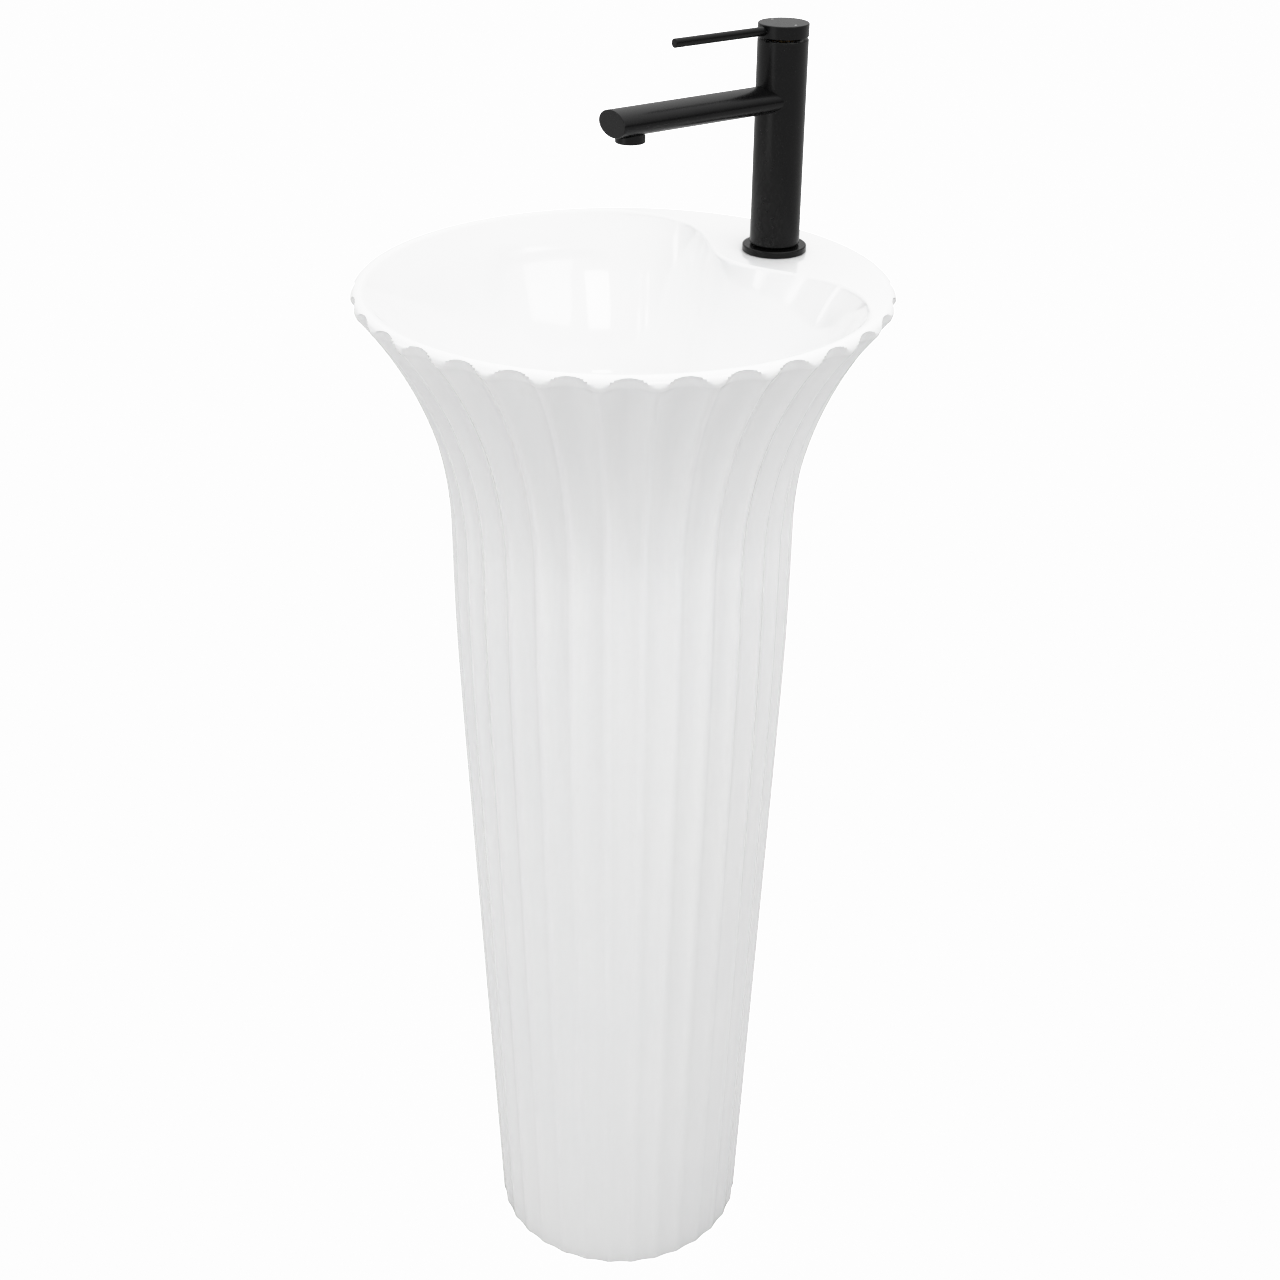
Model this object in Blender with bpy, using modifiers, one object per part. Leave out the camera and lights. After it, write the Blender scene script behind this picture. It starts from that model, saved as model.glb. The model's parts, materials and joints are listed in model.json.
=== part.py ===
"""A fluted pedestal wash basin with a single-lever mixer tap, a push-open waste and a bottle trap.

The origin is the middle of the foot, on the floor. +Z is up and the front of the basin faces -Y.
Each piece is one object in the collection "pedestal_sink". The tap's pieces hang from the empty
"tap_axis", where the tap's axis meets the deck, the handle's from "lever_pivot", and the waste's and
trap's from "drain_axis", in the middle of the bowl's floor. All sizes below are in millimetres.
"""

import math

import bmesh
import bpy
from mathutils import Matrix, Vector

MM = 0.001
GAP = 0.3                     # clearance between pieces that touch

# Basin and pedestal
RIM_Z = 880.0                 # rim and tap deck above the floor
RIM_R = 200.0                 # the lip's outermost radius
LIP_ROUND = 6.5
LIP_ROWS = (0.33, 0.62, 0.82, 1)   # shares of the lip's rounding, from the flare to its crest
BASE_R = 109.0
NECK_R = 133.3
NECK_Z = 600.0                # where the taper ends and the upright neck starts
FLARE_Z = 690.0               # where the neck turns into the flare
FLARE_ROWS = (722, 752, 780, 806, 830, 850, 860)
FLUTES = 32
FLUTE_DEPTH = (1.2, 7.4)      # at the floor and at the rim
RIDGE_START = (0.70, 0.84)    # share of the half flute where its hollow turns into the ridge: neck, rim
ARCH_TOP = 878.9              # where a flute's middle ends under the lip
ARCH_DROP = 13.5              # how much lower it ends beside a ridge
ARCH_POWER = 2.6              # how flat the arch is over the middle
ARCH_HEIGHT = 9.5             # over which the flute runs out
COVE_POWER = 0.7              # how bluntly it runs out
WALL = 14.0                   # of the bowl
COLUMN_WALL = 15.0            # of the column, behind the middle of a flute
DECK_NOSE = 95.0              # the deck's front edge, behind the bowl's middle
DECK_SWEEP = 42.0             # how much further back the edge is at the sides
DECK_SPREAD = 66.0            # how far from the middle the edge sweeps back
DECK_SIDE = 80                # degrees from the back, past which the edge is the plain rim
DECK_FADE = 0.15              # how much of the deck's outline the bowl has lost where its wall ends
DECK_THICK = 14.0
EDGE_CHAMFER = 3.0            # of the bowl's top edge
CORNER_POWER = 8              # how tightly the deck's edge turns into the rim
BOWL_FLOOR = 730.0
BOWL_TURN = 770.0             # where the bowl's wall curves into its floor
WALL_ROWS = (850, 820, 793)
TURN_ROWS = (0, 0.33, 0.66, 1)     # shares of that curve
SHELL_ROWS = (0.25, 0.6, 1)        # the same on the bowl's underside
FLOOR_FLAT_R = 34.0
DRAIN_HOLE_R = 23.0
FLOOR_THICK = 13.0
HOLLOW_SPREAD = (20, 42)      # degrees from the back over which the hollow under the deck runs out
HOLLOW_TOP = 6.0              # above the bowl's floor, where there is no deck
HOLLOW_LEAST = 5.0            # the hollow stops where it would get narrower than this
OUTER_COLUMNS = 4 * FLUTES
INNER_COLUMNS = 2 * FLUTES

# Tap, measured from the deck
TAP_Y = 141.0
DECK_HOLE_R = 17.5
TAP_R = 19.0
SEAT_Z = 123.0                # where the cartridge stands
TAP_TOP = 158.9
PIVOT_Z = 140.7               # the handle's lifting axis
SPOUT_Z = 116.0
SPOUT_HALF = (16.5, 9.75)     # half the oval's width and height
SPOUT_REACH = 152.0
AERATOR_REACH = 136.0
LEVER_Z = 25.0                # above the pivot
LEVER_REACH = 99.0

# Trap, measured from the bowl's floor
BRANCH_Z = -190.0
PIPE_R = 16.0
PIPE_BORE = 14.2
PIPE_Y = 76.0
PIPE_BEND = 18.0
PIPE_END = 10.0 - BOWL_FLOOR

CERAMIC = ("glazed_ceramic", (0.86, 0.86, 0.85), 0.0, 0.12)
BLACK = ("satin_black_metal", (0.016, 0.016, 0.017), 0.0, 0.34)
BRASS = ("brass", (0.72, 0.53, 0.24), 1.0, 0.35)
CHROME = ("chrome", (0.80, 0.81, 0.82), 1.0, 0.12)
STEEL = ("steel", (0.58, 0.58, 0.57), 1.0, 0.32)
RUBBER = ("black_rubber", (0.02, 0.02, 0.02), 0.0, 0.80)
WHITE_PLASTIC = ("white_plastic", (0.80, 0.80, 0.78), 0.0, 0.40)
GREY_PLASTIC = ("grey_plastic", (0.32, 0.34, 0.36), 0.0, 0.45)
VALVE_CERAMIC = ("valve_ceramic", (0.74, 0.70, 0.62), 0.0, 0.25)


# Scene, materials and placing

def clear_scene():
    for obj in list(bpy.data.objects):
        bpy.data.objects.remove(obj)


def new_collection(name):
    collection = bpy.data.collections.new(name)
    bpy.context.scene.collection.children.link(collection)
    return collection


def new_empty(name, location, parent=None):
    empty = bpy.data.objects.new(name, None)
    empty.location = Vector(location) * MM
    empty.parent = parent
    SINK.objects.link(empty)
    return empty


def material(name, colour, metallic, roughness):
    found = bpy.data.materials.new(name)
    found.use_nodes = True
    shader = found.node_tree.nodes["Principled BSDF"]
    shader.inputs["Base Color"].default_value = (*colour, 1.0)
    shader.inputs["Metallic"].default_value = metallic
    shader.inputs["Roughness"].default_value = roughness
    return found


def add_piece(name, mesh, finish, parent=None, location=(0, 0, 0)):
    obj = bpy.data.objects.new(name, mesh)
    mesh.materials.clear()
    mesh.materials.append(material(name + "_" + finish[0], *finish[1:]))
    obj.parent = parent
    obj.location = Vector(location) * MM
    SINK.objects.link(obj)
    return obj


def add_cutter(name, mesh, target, location=(0, 0, 0)):
    """A helper for a Boolean on target, placed in target's own frame."""
    obj = bpy.data.objects.new(name, mesh)
    obj.parent = target
    obj.location = Vector(location) * MM
    obj.hide_render = True
    obj.display_type = "WIRE"
    CUTTERS.objects.link(obj)
    return obj


# Meshes, in millimetres about their own origin

def to_mesh(name, bm):
    bmesh.ops.scale(bm, vec=(MM, MM, MM), verts=bm.verts)
    mesh = bpy.data.meshes.new(name)
    bm.to_mesh(mesh)
    bm.free()
    return mesh


def cylinder_mesh(name, radius, low, high, sides=24, axis="Z", oval=1.0):
    """A cylinder from low to high along X, Y or Z. An oval one is flattened along Z."""
    bm = bmesh.new()
    bmesh.ops.create_cone(bm, cap_ends=True, segments=sides, radius1=radius, radius2=radius,
                          depth=high - low)
    bmesh.ops.translate(bm, verts=bm.verts, vec=(0, 0, (low + high) / 2))
    turns = {"Z": Matrix(), "Y": Matrix.Rotation(-math.pi / 2, 3, "X"),
             "X": Matrix.Rotation(math.pi / 2, 3, "Y")}
    bmesh.ops.rotate(bm, cent=(0, 0, 0), matrix=turns[axis].to_3x3(), verts=bm.verts)
    bmesh.ops.scale(bm, vec=(1, 1, oval), verts=bm.verts)
    return to_mesh(name, bm)


def box_mesh(name, low, high):
    bm = bmesh.new()
    bmesh.ops.create_cube(bm, size=1)
    low, high = Vector(low), Vector(high)
    bmesh.ops.scale(bm, vec=high - low, verts=bm.verts)
    bmesh.ops.translate(bm, vec=(low + high) / 2, verts=bm.verts)
    return to_mesh(name, bm)


def profile_mesh(name, points, closed):
    """A chain of (radius, height) points in the XZ plane, for a Screw modifier to turn."""
    mesh = bpy.data.meshes.new(name)
    ends = [(i, i + 1) for i in range(len(points) - 1)]
    if closed:
        ends.append((len(points) - 1, 0))
    mesh.from_pydata([(r * MM, 0, z * MM) for r, z in points], ends, [])
    return mesh


# Pieces

def turned(name, points, finish, parent, steps=24, location=(0, 0, 0), lay=False):
    """A profile turned about the piece's Z axis, its outer side given from top to bottom.

    A profile that starts off the axis is a closed ring section. A laid piece's axis points along +Y.
    """
    closed = points[0][0] > 0
    obj = add_piece(name, profile_mesh(name, points, closed), finish, parent, location)
    screw = obj.modifiers.new("Turn", "SCREW")
    screw.axis = "Z"
    screw.steps = steps
    screw.render_steps = steps
    screw.use_merge_vertices = True
    screw.merge_threshold = 0.0001
    if lay:
        obj.rotation_euler = (-math.pi / 2, 0, 0)
    return obj


def ring(name, outer, inner, high, low, finish, parent, **more):
    section = [(outer, high), (outer, low), (inner, low), (inner, high)]
    return turned(name, section, finish, parent, **more)


def boolean(target, helper, operation):
    modifier = target.modifiers.new(helper.name, "BOOLEAN")
    modifier.operation = operation
    modifier.object = helper


def drill(target, name, radius, low, high, centre=(0, 0, 0), axis="Z", sides=12, oval=1.0):
    mesh = cylinder_mesh(name, radius, low, high, sides, axis, oval)
    boolean(target, add_cutter(target.name + "_" + name, mesh, target, centre), "DIFFERENCE")


def pocket(target, name, low, high):
    helper = add_cutter(target.name + "_" + name, box_mesh(name, low, high), target)
    boolean(target, helper, "DIFFERENCE")


def weld_on(target, name, mesh):
    boolean(target, add_cutter(target.name + "_" + name, mesh, target), "UNION")


def tube_mesh(name, points, radius):
    """A solid rod along a chain of points, from a curve with filled caps."""
    curve = bpy.data.curves.new(name, "CURVE")
    curve.dimensions = "3D"
    curve.bevel_depth = radius * MM
    curve.bevel_resolution = 4
    curve.use_fill_caps = True
    spline = curve.splines.new("POLY")
    spline.points.add(len(points) - 1)
    for point, place in zip(spline.points, points):
        point.co = (*(Vector(place) * MM), 1)
    helper = bpy.data.objects.new(name, curve)
    CUTTERS.objects.link(helper)
    bpy.context.view_layer.update()
    mesh = bpy.data.meshes.new_from_object(helper.evaluated_get(bpy.context.evaluated_depsgraph_get()))
    bpy.data.objects.remove(helper)
    bm = bmesh.new()
    bm.from_mesh(mesh)
    bmesh.ops.remove_doubles(bm, verts=bm.verts, dist=0.00001)
    bmesh.ops.recalc_face_normals(bm, faces=bm.faces)
    bm.to_mesh(mesh)
    bm.free()
    return mesh


# The ceramic: one loft whose section changes round the bowl

def mix(a, b, share):
    return a + (b - a) * share


def ease(value, low, high):
    """0 below low, 1 above high, smooth between."""
    t = min(max((value - low) / (high - low), 0), 1)
    return t * t * (3 - 2 * t)


def lip_point(slope):
    """Radius and height on the lip's round outer side, where it faces this angle above level."""
    return RIM_R - LIP_ROUND + LIP_ROUND * math.cos(slope), RIM_Z - LIP_ROUND + LIP_ROUND * math.sin(slope)


# The flare is one arc: upright where it leaves the neck, and touching the lip's rounding
REACH = RIM_R - LIP_ROUND - NECK_R
RISE = RIM_Z - LIP_ROUND - FLARE_Z
FLARE_ARC = (REACH ** 2 + RISE ** 2 - LIP_ROUND ** 2) / (2 * (REACH + LIP_ROUND))
LIP_START = -math.atan2(RISE, FLARE_ARC - REACH)
FLARE_TOP = lip_point(LIP_START)


def column_radius(z):
    """The ridges' radius: a taper that eases into an upright neck, then the flare."""
    taper = NECK_R - math.log1p(math.exp((NECK_R - BASE_R) * (1 - z / NECK_Z)))
    rise = min(max(z, FLARE_Z), FLARE_TOP[1]) - FLARE_Z
    return taper + FLARE_ARC - math.sqrt(FLARE_ARC ** 2 - rise ** 2)


def flute_depth(z):
    return mix(*FLUTE_DEPTH, (z / RIM_Z) ** 2)


def flute_section(across, ridge):
    """1 in the flute's middle and 0 on the ridge: a hollow that turns over into a soft ridge."""
    if across < ridge:
        hollow = 1 - across * across
    else:
        hollow = ridge * (1 - across) ** 2 / (1 - ridge) + 1 - ridge
    return (hollow - 1 + ridge) / ridge


def flute(angle, z):
    """How deep the outside is cut here. One flute is centred on the front, and each ends in an arch."""
    phase = (angle + math.pi / 2) * FLUTES / (2 * math.pi)
    across = 2 * abs(phase - round(phase))
    top = ARCH_TOP - ARCH_DROP * across ** ARCH_POWER
    rise = min(max((z - top + ARCH_HEIGHT) / ARCH_HEIGHT, 0), 1)
    ridge = mix(*RIDGE_START, ease(z, FLARE_Z, RIM_Z))
    return flute_depth(z) * flute_section(across, ridge) * (1 - rise * rise) ** COVE_POWER


def bowl_edge(angle):
    """The radius of the bowl's top edge: round, but cut off at the back by the deck."""
    inner = RIM_R - WALL
    from_back = abs(math.remainder(angle - math.pi / 2, 2 * math.pi))
    if from_back > math.radians(DECK_SIDE):
        return inner
    low, high = DECK_NOSE, 6 * inner
    for _ in range(40):
        mid = (low + high) / 2
        x, y = mid * math.sin(from_back), mid * math.cos(from_back)
        if y < DECK_NOSE + DECK_SWEEP * (1 - math.exp(-((x / DECK_SPREAD) ** 2))):
            low = mid
        else:
            high = mid
    return (low ** -CORNER_POWER + inner ** -CORNER_POWER) ** (-1 / CORNER_POWER)


def bowl_wall(edge, z):
    """The bowl's radius above its turn: it follows the flare, and grows rounder as it goes down."""
    rounder = DECK_FADE * (RIM_Z - z) / (RIM_Z - BOWL_TURN)
    return mix(edge, RIM_R - WALL, rounder) * (column_radius(z) - WALL) / (FLARE_TOP[0] - WALL)


def bowl_turn(edge, share):
    """A point on the quarter oval from the wall (0) to the flat floor (1)."""
    turn = share * math.pi / 2
    radius = FLOOR_FLAT_R + (bowl_wall(edge, BOWL_TURN) - FLOOR_FLAT_R) * math.cos(turn)
    return radius, BOWL_FLOOR + (BOWL_TURN - BOWL_FLOOR) * (1 - math.sin(turn))


def cavity_radius(z):
    return column_radius(z) - flute_depth(z) - COLUMN_WALL


def shell_radius(edge, z):
    """The outside of the bowl's wall and floor, seen from inside the column."""
    low = BOWL_FLOOR - FLOOR_THICK
    if z >= BOWL_TURN:
        return bowl_wall(edge, z) + WALL
    rise = max((z - low) / (BOWL_TURN - low), 0)
    reach = bowl_wall(edge, BOWL_TURN) + WALL - FLOOR_FLAT_R
    return FLOOR_FLAT_R + reach * math.sqrt(1 - (1 - rise) ** 2)


def cavity_top(angle, edge):
    """How high the hollow column reaches: up to the deck at the back, under the bowl elsewhere."""
    from_back = abs(math.degrees(math.remainder(angle - math.pi / 2, 2 * math.pi)))
    top = mix(RIM_Z - DECK_THICK, BOWL_FLOOR + HOLLOW_TOP, ease(from_back, *HOLLOW_SPREAD))
    z = BOWL_FLOOR - FLOOR_THICK + HOLLOW_LEAST
    while z < top and cavity_radius(z + 1) - shell_radius(edge, z + 1) > HOLLOW_LEAST:
        z += 1
    return z


def outer_rows(angle):
    """From the foot up over the lip to its crest."""
    heights = (0, NECK_Z, FLARE_Z, *FLARE_ROWS, FLARE_TOP[1])
    rows = [(column_radius(z) - flute(angle, z), z) for z in heights]
    for share in LIP_ROWS:
        radius, z = lip_point(mix(LIP_START, math.pi / 2, share))
        rows.append((radius - flute(angle, z), z))
    return rows


def inner_rows(angle):
    """From the bowl's top edge down to the drain hole, and along the hollow column to the foot."""
    edge = bowl_edge(angle)
    top = cavity_top(angle, edge)
    low = BOWL_FLOOR - FLOOR_THICK
    rows = [(edge + EDGE_CHAMFER, RIM_Z), (edge, RIM_Z - EDGE_CHAMFER)]
    rows += [(bowl_wall(edge, z), z) for z in WALL_ROWS]
    rows += [bowl_turn(edge, share) for share in TURN_ROWS]
    rows += [(DRAIN_HOLE_R, BOWL_FLOOR), (DRAIN_HOLE_R, low), (FLOOR_FLAT_R, low)]
    for share in SHELL_ROWS:
        z = mix(low, top, 1 - math.cos(share * math.pi / 2))
        rows.append((shell_radius(edge, z), z))
    rows += [(cavity_radius(z), z) for z in (top, mix(NECK_Z, top, 0.55), NECK_Z, 0)]
    return rows


def column_angle(index, count):
    return 2 * math.pi * index / count - math.pi / 2


def ceramic_mesh():
    bm = bmesh.new()

    def circles_of(rows_of, count):
        angles = [column_angle(i, count) for i in range(count)]
        columns = [rows_of(angle) for angle in angles]
        return [[bm.verts.new((r * math.cos(angle), r * math.sin(angle), z))
                 for angle, (r, z) in zip(angles, row)] for row in zip(*columns)]

    outer = circles_of(outer_rows, OUTER_COLUMNS)
    inner = circles_of(inner_rows, INNER_COLUMNS)
    for rows in (outer, inner):
        for lower, upper in zip(rows, rows[1:]):
            for i in range(len(lower)):
                j = (i + 1) % len(lower)
                bm.faces.new((lower[i], lower[j], upper[j], upper[i]))
    for fine, coarse, flip in ((outer[-1], inner[0], False), (outer[0], inner[-1], True)):
        for i in range(INNER_COLUMNS):
            j = (i + 1) % INNER_COLUMNS
            face = [fine[2 * i], fine[2 * i + 1], fine[2 * i + 2 - len(fine)], coarse[j], coarse[i]]
            bm.faces.new(face[::-1] if flip else face)
    return to_mesh("basin_pedestal", bm)


def make_basin():
    basin = add_piece("basin_pedestal", ceramic_mesh(), CERAMIC)
    drill(basin, "tap_hole", DECK_HOLE_R, RIM_Z - 2 * DECK_THICK, RIM_Z + 5, centre=(0, TAP_Y, 0),
          sides=32)


# The tap

def make_tap_body(tap):
    section = [(0, SEAT_Z), (14.3, SEAT_Z), (14.3, TAP_TOP), (18.4, TAP_TOP), (TAP_R, TAP_TOP - 0.6),
               (TAP_R, 6.8), (18.4, 6.2), (15, 6.2), (15, -12), (0, -12)]
    body = turned("faucet_body", section, BLACK, tap, steps=32)
    for name, x in (("hot", -7.5), ("cold", 7.5)):
        drill(body, name + "_way", 3.2, -13, SEAT_Z + 1, centre=(x, 4, 0), sides=12)
        drill(body, name + "_socket", 5.3, -13, -4, centre=(x, 4, 0))
    drill(body, "stud_socket", 4.3, -13, 6, centre=(0, -8, 0))
    drill(body, "outlet", 6.5, -22, 0, centre=(0, 0, SPOUT_Z), axis="Y")
    drill(body, "outlet_drop", 3.0, SPOUT_Z - 4, SEAT_Z + 1, centre=(0, -5, 0), sides=12)
    section = [(24, 5.2), (24.5, 4.7), (24.5, GAP), (23.8, GAP), (23.8, 1.8), (15.3, 1.8), (15.3, 5.2)]
    turned("base_ring", section, BLACK, tap, steps=32)
    ring("deck_gasket", 23.5, 18.2, 1.5, GAP, RUBBER, tap)


def make_spout(tap):
    wide, tall = SPOUT_HALF
    mesh = cylinder_mesh("spout", wide, -SPOUT_REACH, -10, sides=32, axis="Y", oval=tall / wide)
    spout = add_piece("spout", mesh, BLACK, tap, (0, 0, SPOUT_Z))
    drill(spout, "saddle", TAP_R + GAP, -20, 20, sides=32)
    drill(spout, "bore", wide - 3.2, -SPOUT_REACH + 5, 0, axis="Y", sides=32, oval=(tall - 3) / (wide - 3.2))
    drill(spout, "aerator_hole", 11.3, -20, 0, centre=(0, -AERATOR_REACH, 0), sides=32)
    place = (0, -AERATOR_REACH, 0)
    section = [(11, 111.5), (11, 101.6), (10.7, 101.3), (8.2, 101.3), (8.2, 102.5), (9.3, 102.5),
               (9.3, 111.5)]
    turned("aerator_housing", section, BLACK, tap, location=place)
    insert = turned("aerator_insert", [(0, 109.5), (9, 109.5), (9, 102.8), (0, 102.8)], GREY_PLASTIC, tap,
                    location=place)
    drill(insert, "jet", 1.3, 102, 110, sides=6)
    for i in range(6):
        turn = i * math.pi / 3
        drill(insert, f"jet_{i}", 1.3, 102, 110, centre=(5 * math.cos(turn), 5 * math.sin(turn), 0), sides=6)
    ring("aerator_washer", 9, 6.5, 111.3, 109.8, RUBBER, tap, location=place)


def make_crescent(name, top, bottom, finish, tap):
    """A washer open at the back, so that it slides in round the inlets with the stud in place."""
    piece = add_piece(name, cylinder_mesh(name, 21, bottom, top, sides=32), finish, tap)
    pocket(piece, "slot", (-13.2, -1.8, bottom - 2), (13.2, 30, top + 2))
    drill(piece, "stud_hole", 4.4, bottom - 2, top + 2, centre=(0, -8, 0))


def make_tap_fixing(tap):
    under = -DECK_THICK
    make_crescent("rubber_crescent", under - GAP, under - 1.8, RUBBER, tap)
    make_crescent("horseshoe_washer", under - 2.1, under - 4.1, STEEL, tap)
    turned("mounting_stud", [(0, 5.5), (4, 5.5), (4, -57.3), (3.3, -58), (0, -58)], STEEL, tap, steps=20,
           location=(0, -8, 0))
    nut = add_piece("stud_nut", cylinder_mesh("stud_nut", 7.5, under - 10.7, under - 4.4, sides=6), STEEL,
                    tap, (0, -8, 0))
    drill(nut, "thread", 4.3, under - 12, under - 3)
    for name, x in (("hot_inlet", -7.5), ("cold_inlet", 7.5)):
        section = [(5, -4.4), (5, -35.5), (4.5, -36), (3.4, -36), (3.4, -4.4)]
        turned(name, section, BRASS, tap, steps=20, location=(x, 4, 0))


# The cartridge

def drill_ports(piece, low, high):
    for name, x in (("hot_port", -5.5), ("cold_port", 5.5)):
        drill(piece, name, 1.9, low, high, centre=(x, 3.5, 0), sides=12)
    drill(piece, "outlet_port", 2.4, low, high, centre=(0, -5, 0), sides=12)


def make_cartridge(tap, pivot):
    ring("cartridge_seal", 13.9, 11.9, SEAT_Z + 1.5, SEAT_Z + GAP, RUBBER, tap)
    section = [(0, 125.8), (11.4, 125.8), (11.4, 144.4), (10, 144.4), (10, 146.4), (13.9, 146.4),
               (13.9, 124.8), (0, 124.8)]
    housing = turned("cartridge_housing", section, WHITE_PLASTIC, tap)
    drill_ports(housing, 124, 127)
    fixed = turned("fixed_disc", [(0, 127.7), (11.1, 127.7), (11.1, 126.1), (0, 126.1)], VALVE_CERAMIC, tap)
    drill_ports(fixed, 125, 129)
    ring("cartridge_nut", 14, 10.3, 155.5, 146.7, BRASS, tap)

    def height(z):
        return z - PIVOT_Z

    moving = turned("moving_disc", [(0, height(130.6)), (7.3, height(130.6)), (7.3, height(128)),
                                    (0, height(128))], VALVE_CERAMIC, pivot)
    drill(moving, "stem_pocket", 2.9, height(129), height(132))
    section = [(0, height(146.2)), (9.7, height(146.2)), (9.7, height(144.1)), (11.1, height(144.1)),
               (11.1, height(130.9)), (0, height(130.9))]
    rotor = turned("cartridge_rotor", section, GREY_PLASTIC, pivot)
    pocket(rotor, "stem_slot", (-3.5, -7.8, -12), (3.5, 6.2, 8))
    drill(rotor, "pin_bore", 1.8, -13, 13, axis="X", sides=12)
    add_piece("pivot_pin", cylinder_mesh("pivot_pin", 1.5, -10.5, 10.5, 16, "X"), STEEL, pivot)
    stem = turned("cartridge_stem", [(0, 25.5), (3.1, 25.5), (3.1, -7), (2.2, -8), (2.2, -11.4), (0, -11.4)],
                  BRASS, pivot, steps=20)
    drill(stem, "pin_bore", 1.8, -5, 5, axis="X", sides=12)


def make_handle(pivot):
    section = [(0, 29.5), (18.75, 29.5), (19.05, 29.2), (19.05, 20), (17.55, 20), (17.55, 28), (6, 28),
               (6, 20), (3.45, 20), (3.45, 26), (0, 26)]
    cap = turned("handle_cap", section, BLACK, pivot, steps=32)
    weld_on(cap, "lever_block", box_mesh("lever_block", (-5.2, -18.2, 20.6), (5.2, -4.6, 28.6)))
    drill(cap, "lever_hole", 3.65, -25, -4.3, centre=(0, 0, LEVER_Z), axis="Y", sides=20)
    drill(cap, "screw_hole", 2.5, 2.5, 25, centre=(0, 0, LEVER_Z), axis="Y")
    turned("lever_rod", [(0, -4.6), (3.35, -4.6), (3.35, 0.2 - LEVER_REACH), (3.15, -LEVER_REACH),
                         (0, -LEVER_REACH)], BLACK, pivot, steps=20, location=(0, 0, LEVER_Z), lay=True)
    screw = add_piece("set_screw", cylinder_mesh("set_screw", 2.2, 3.4, 8.2, 16, "Y"), STEEL, pivot,
                      (0, 0, LEVER_Z))
    drill(screw, "hex_socket", 1.2, 5.5, 9, axis="Y", sides=6)


# The waste and the trap

def make_waste(drain):
    ring("waste_upper_seal", 30, 21.3, 1.8, GAP, RUBBER, drain)
    section = [(30.5, 4.2), (31.5, 3.2), (31.5, 2.1), (20.9, 2.1), (20.9, -72), (17.2, -72), (17.2, 2.4),
               (19.5, 4.2)]
    turned("waste_flange", section, CHROME, drain)
    under = -FLOOR_THICK
    ring("waste_lower_seal", 31, 21.3, under - GAP, under - 3.6, RUBBER, drain)
    nut = add_piece("waste_locknut", cylinder_mesh("waste_locknut", 32, -30, under - 3.9, sides=6), BRASS,
                    drain)
    drill(nut, "thread", 21.3, -32, -15, sides=24)


def make_plug(drain):
    guide = turned("plug_guide", [(0, -8), (16.9, -8), (16.9, -12), (0, -12)], WHITE_PLASTIC, drain)
    weld_on(guide, "hub", cylinder_mesh("hub", 6.6, -20, -4, 20))
    drill(guide, "stem_hole", 4.4, -22, -2)
    for i in range(6):
        turn = i * math.pi / 3
        drill(guide, f"water_way_{i}", 3.4, -13, -7, sides=12,
              centre=(11.7 * math.cos(turn), 11.7 * math.sin(turn), 0))
    section = [(0, 7.6), (4, 7.6), (4, -29), (6, -29), (6, -32), (0, -32)]
    turned("plug_stem", section, CHROME, drain, steps=20)
    ring("plug_seal", 21.5, 4.4, 5.5, 4.5, RUBBER, drain)
    turned("plug_cap", [(0, 10.5), (10, 10.2), (18, 9), (23, 7.2), (24, 6.4), (23.6, 5.8), (4.3, 5.8),
                        (4.3, 7.9), (0, 7.9)], CHROME, drain)


def nut_section(outer, bore, lip, low, high, lip_high):
    """A union nut: a plain bore and a lip, which is at the top or the bottom."""
    if lip_high > high - 0.001:
        return [(outer, high), (outer, low), (bore, low), (bore, high - 3.2), (lip, high - 3.2), (lip, high)]
    return [(outer, high), (outer, low), (lip, low), (lip, lip_high), (bore, lip_high), (bore, high)]


def make_trap(drain):
    ring("trap_inlet_washer", 20.6, 17, -72.3, -74.9, RUBBER, drain)
    turned("trap_inlet_nut", nut_section(25, 21.2, 16.4, -80.5, -60, -77.5), CHROME, drain)
    turned("trap_inlet_tube", [(20.6, -75.2), (20.6, -77.2), (16, -77.2), (16, -228), (14.5, -228),
                               (14.5, -75.2)], CHROME, drain)
    ring("trap_body_washer", 20, 16.4, -145.2, -147.7, RUBBER, drain)
    turned("trap_body_nut", nut_section(24, 20.5, 16.4, -162, -141.7, -141.7), CHROME, drain)
    section = [(20.2, -148), (20.2, -168), (30, -170), (30, -270), (27.6, -270), (27.6, -172.5),
               (16.6, -172.5), (16.6, -148)]
    body = turned("trap_body", section, CHROME, drain)
    branch = cylinder_mesh("branch", 19.8, 28, 47, 24, "Y")
    branch.transform(Matrix.Translation((0, 0, BRANCH_Z * MM)))
    weld_on(body, "branch", branch)
    drill(body, "branch_bore", 16.5, 20, 48, centre=(0, 0, BRANCH_Z), axis="Y", sides=24)
    turned("trap_cup", [(0, -300), (27.4, -300), (27.4, -273.8), (30.3, -273.8), (30.3, -254), (33.5, -254),
                        (33.5, -300), (31, -304), (0, -304)], CHROME, drain)
    ring("trap_cup_seal", 29.9, 27.8, -270.3, -273.5, RUBBER, drain)


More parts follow.
